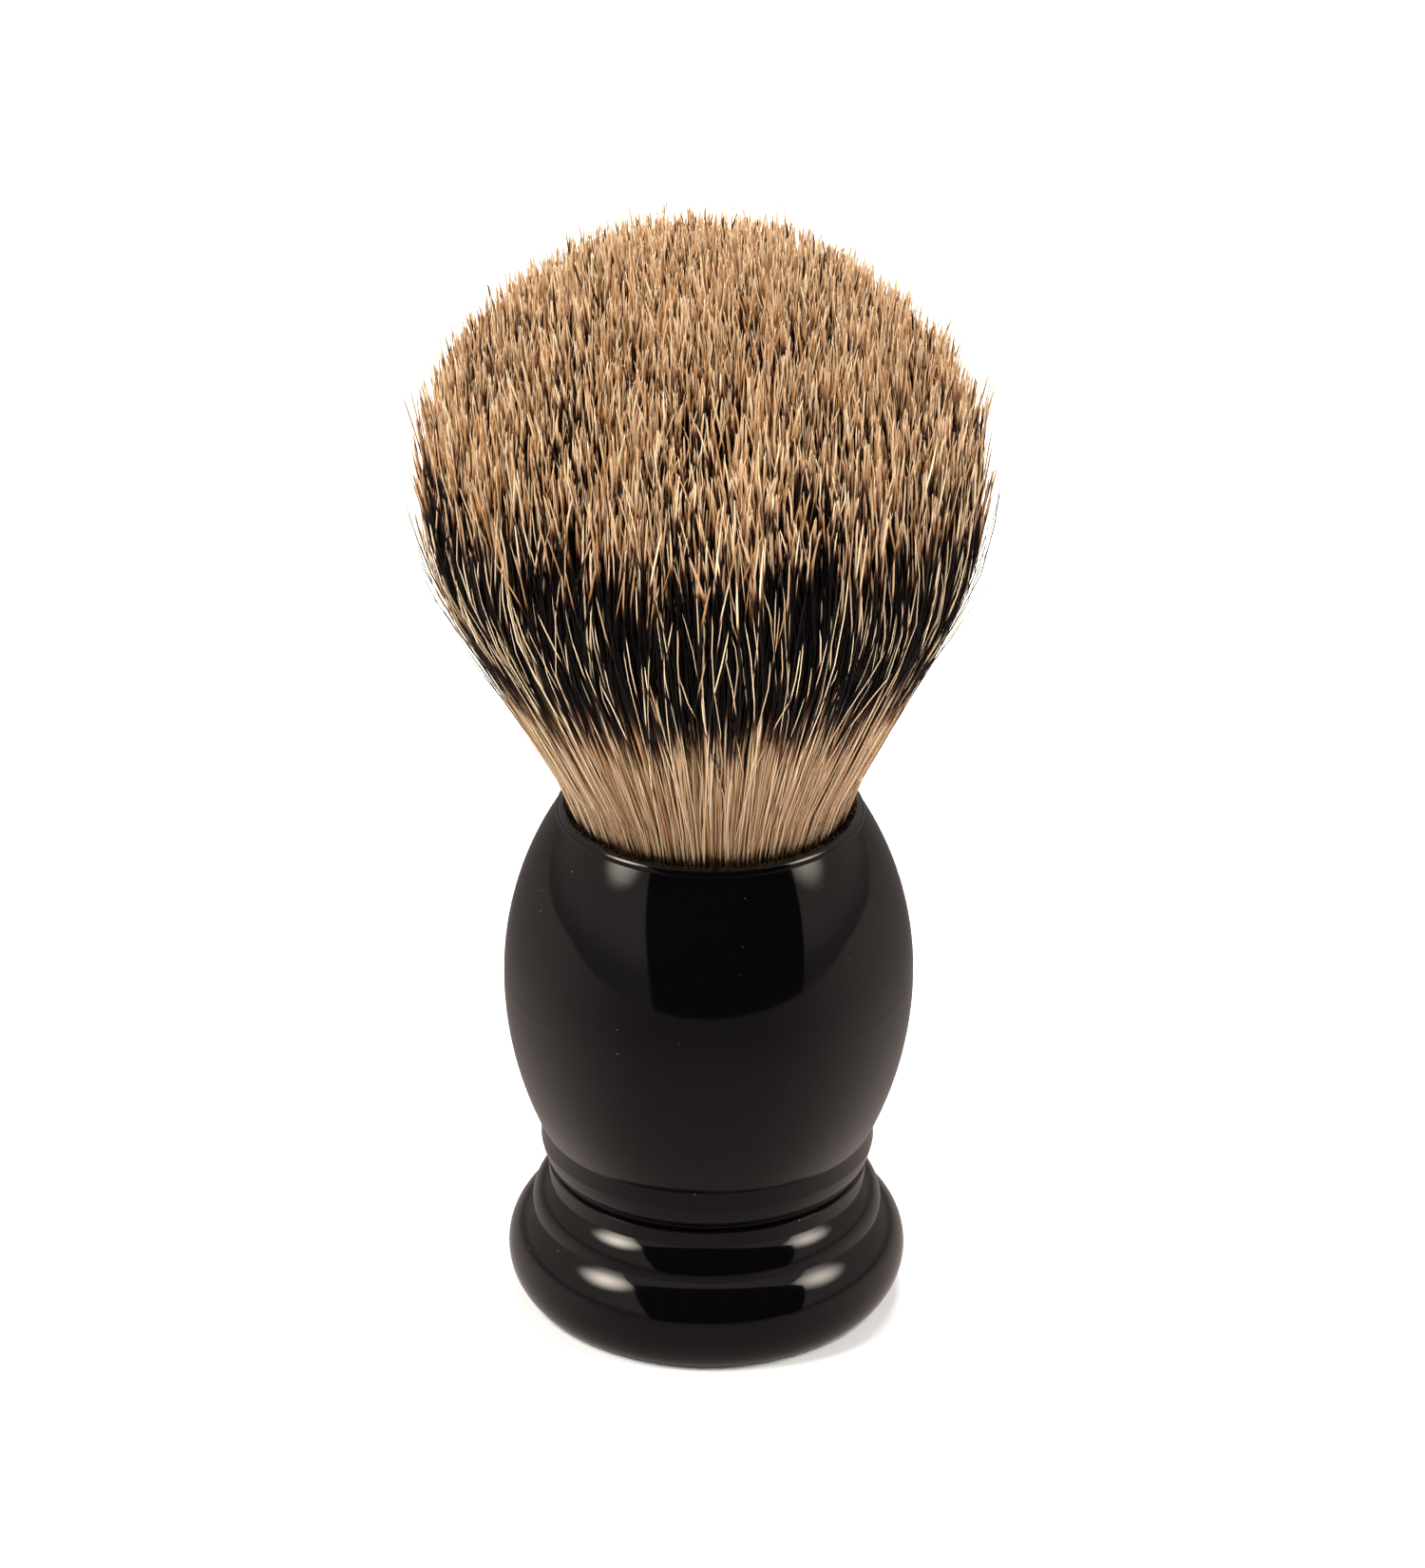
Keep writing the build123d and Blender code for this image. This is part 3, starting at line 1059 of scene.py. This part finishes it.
@dataclass
class Studio:
    """Pale floor, soft light from both sides, what the polish mirrors, and the camera."""

    floor_half: float = 3.0
    floor_colour: Colour = (0.92, 0.92, 0.92)
    sky: float = 0.24
    mirrored_sky: float = 0.45
    mirrored_tint: Colour = (1.0, 0.90, 0.82)
    horizon_share: float = 0.45
    horizon_low: float = -0.02
    horizon_high: float = 0.20
    camera_elevation: float = 25.5
    camera_distance: float = 0.550
    camera_aim_z: float = 0.04775
    camera_side: float = 0.00019
    camera_roll: float = 0.5
    lens: float = 149.85
    sensor: float = 36.0
    room_distance: float = 0.20
    room_height: float = 0.45
    room_colour: Colour = (0.6, 0.6, 1.0)
    room_strength: float = 0.012
    mirrored_floor: float = 0.17
    mirrored_floor_tint: Colour = (1.0, 0.84, 0.78)
    side_lift: float = 0.33
    side_power: float = 4.0
    near_lift: float = 0.12
    near_from: float = 0.12
    near_to: float = 0.03

    def build(self) -> None:
        """Sets the whole studio."""
        self.make_floor()
        self.make_sky()
        Lamp("lamp_left", azimuth=-66.0, elevation=50.0, power=34.0).build()
        Lamp("lamp_right", azimuth=66.0, elevation=48.0, power=23.0).build()
        Lamp("lamp_top", azimuth=175.0, elevation=70.0, power=24.0).build()
        Glow("glow_left", azimuth=-71.0, elevation=40.0, strength=17.0).build()
        Glow("glow_right", azimuth=80.0, elevation=37.0, strength=11.0).build()
        self.make_dark_room()
        self.make_mirrored_floor()
        self.make_camera()

    def make_floor(self) -> None:
        """A wide level sheet under the object."""
        half = self.floor_half
        points = np.array([[-half, -half, 0.0], [half, -half, 0.0], [half, half, 0.0], [-half, half, 0.0]])
        floor = add_mesh("floor", points, np.array([[0, 1, 2], [0, 2, 3]]), smooth=False)
        floor.location.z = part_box("handle_foot")[0].z
        material = bpy.data.materials.new("pale_floor")
        material.use_nodes = True
        shader = material.node_tree.nodes["Principled BSDF"]
        shader.inputs["Base Color"].default_value = opaque(self.floor_colour)
        shader.inputs["Roughness"].default_value = 0.9
        shader.inputs["Specular IOR Level"].default_value = 0.0
        floor.data.materials.append(material)
        floor.visible_glossy = False

    def make_sky(self) -> None:
        """An even pale sky. The polish mirrors it dimmer and warmer, and dimmer still towards the horizon."""
        world = bpy.data.worlds.new("sky")
        bpy.context.scene.world = world
        world.use_nodes = True
        world.node_tree.nodes.clear()
        board = Board(world.node_tree)
        path = board.add("ShaderNodeLightPath")
        seen = board.add("ShaderNodeMix", {0: path.outputs["Is Camera Ray"], 2: self.sky, 3: 1.0}).outputs[0]
        way = board.add("ShaderNodeSeparateXYZ", {0: board.add("ShaderNodeTexCoord").outputs["Generated"]})
        climb = board.ease(way.outputs[2], self.horizon_low, self.horizon_high)
        low, rest = self.mirrored_sky * self.horizon_share, self.mirrored_sky * (1.0 - self.horizon_share)
        mirrored = board.math("ADD", board.math("MULTIPLY", climb, rest), low)
        strength = board.add("ShaderNodeMix", {0: path.outputs["Is Glossy Ray"], 2: seen, 3: mirrored})
        white, warm = opaque((1.0, 1.0, 1.0)), opaque(self.mirrored_tint)
        tint = board.blend(path.outputs["Is Glossy Ray"], white, warm)
        light = board.add("ShaderNodeBackground", {"Color": tint, "Strength": strength.outputs[0]})
        board.add("ShaderNodeOutputWorld", {"Surface": light.outputs[0]})

    def make_dark_room(self) -> None:
        """The unlit room in front: a dark card from the floor's front edge up, wider at its top."""
        left, right, top_left, top_right = -0.110, 0.255, -0.300, 0.480
        front, top = -self.room_distance, self.room_height
        corners = [[left, front, 0.0], [right, front, 0.0], [top_right, front, top], [top_left, front, top]]
        board = Card("dark_room", np.array(corners)).build()
        shine = {"Color": opaque(self.room_colour), "Strength": self.room_strength}
        light = board.add("ShaderNodeEmission", shine)
        board.add("ShaderNodeOutputMaterial", {"Surface": light.outputs[0]})

    def make_mirrored_floor(self) -> None:
        """The floor as the polish mirrors it: dim in front, brighter to both sides and close to the object.

        The share of the way to the side is |x| / r, where r is the distance from the axis.
        """
        half = self.floor_half
        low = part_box("handle_foot")[0].z
        front = -self.room_distance
        corners = [[-half, front, low], [half, front, low], [half, half, low], [-half, half, low]]
        board = Card("mirrored_floor", np.array(corners)).build()
        spot = board.add("ShaderNodeTexCoord").outputs["Object"]
        place = board.add("ShaderNodeSeparateXYZ", {0: spot})
        apart = board.add("ShaderNodeVectorMath", {0: spot}, operation="LENGTH").outputs["Value"]
        aside = board.math("DIVIDE", board.math("ABSOLUTE", place.outputs[0]), apart)
        side = board.math("MULTIPLY", board.math("POWER", aside, self.side_power), self.side_lift)
        near = board.math("MULTIPLY", board.ease(apart, self.near_from, self.near_to), self.near_lift)
        strength = board.math("ADD", board.math("ADD", side, near), self.mirrored_floor)
        shine = {"Color": opaque(self.mirrored_floor_tint), "Strength": strength}
        light = board.add("ShaderNodeEmission", shine)
        board.add("ShaderNodeOutputMaterial", {"Surface": light.outputs[0]})

    def make_camera(self) -> None:
        """The camera, above and in front of the object, looking down at its middle."""
        data = bpy.data.cameras.new("camera")
        data.lens = self.lens
        data.sensor_width = self.sensor
        data.clip_start = 0.01
        data.clip_end = 20.0
        camera = bpy.data.objects.new("camera", data)
        bpy.context.scene.collection.objects.link(camera)
        back = toward(0.0, self.camera_elevation)
        camera.location = Vector((self.camera_side, 0.0, self.camera_aim_z)) + back * self.camera_distance
        camera.rotation_mode = "QUATERNION"
        roll = Quaternion((0.0, 0.0, 1.0), math.radians(self.camera_roll))
        camera.rotation_quaternion = (-back).to_track_quat("-Z", "Y") @ roll
        bpy.context.scene.camera = camera


def main() -> None:
    """Builds the studio, the handle and the hair, in that order."""
    logging.basicConfig(level=logging.INFO, format="%(name)s %(message)s")
    bpy.context.scene.view_settings.view_transform = "Standard"
    groups = {"mottle": make_mottle_group(), "hair_bands": make_band_group()}
    Studio().build()
    resin = PolishedResin("black_resin", (0.0012, 0.001, 0.0012), (0.05, 0.09), 180.0)
    adhesive = Finish("cured_adhesive", (0.62, 0.55, 0.40), (0.15, 0.35), 400.0)
    Handle({
        "handle_foot": resin,
        "handle_barrel": resin,
        "joint_adhesive": adhesive,
        "socket_adhesive": adhesive,
        "ballast_slug": Finish("turned_steel", (0.45, 0.45, 0.47), (0.25, 0.45), 900.0, metallic=1.0),
        "ballast_bedding": Finish("dark_potting", (0.05, 0.047, 0.045), (0.35, 0.6), 300.0),
        "knot_plug": Finish("knot_resin", (0.45, 0.36, 0.22), (0.3, 0.55), 500.0),
        "knot_binding": Finish("waxed_thread", (0.70, 0.64, 0.52), (0.6, 0.8), 2500.0),
    }).build(groups)
    hair = BandedHair("badger_hair", BLOND, (0.32, 0.5), 900.0, specular=0.4)
    filling = Finish("packed_hair", (0.012, 0.007, 0.005), (0.6, 0.8), 1500.0, specular=0.2)
    HairKnot(TuftShape(), hair, filling).build(groups)


if __name__ == "__main__":
    main()
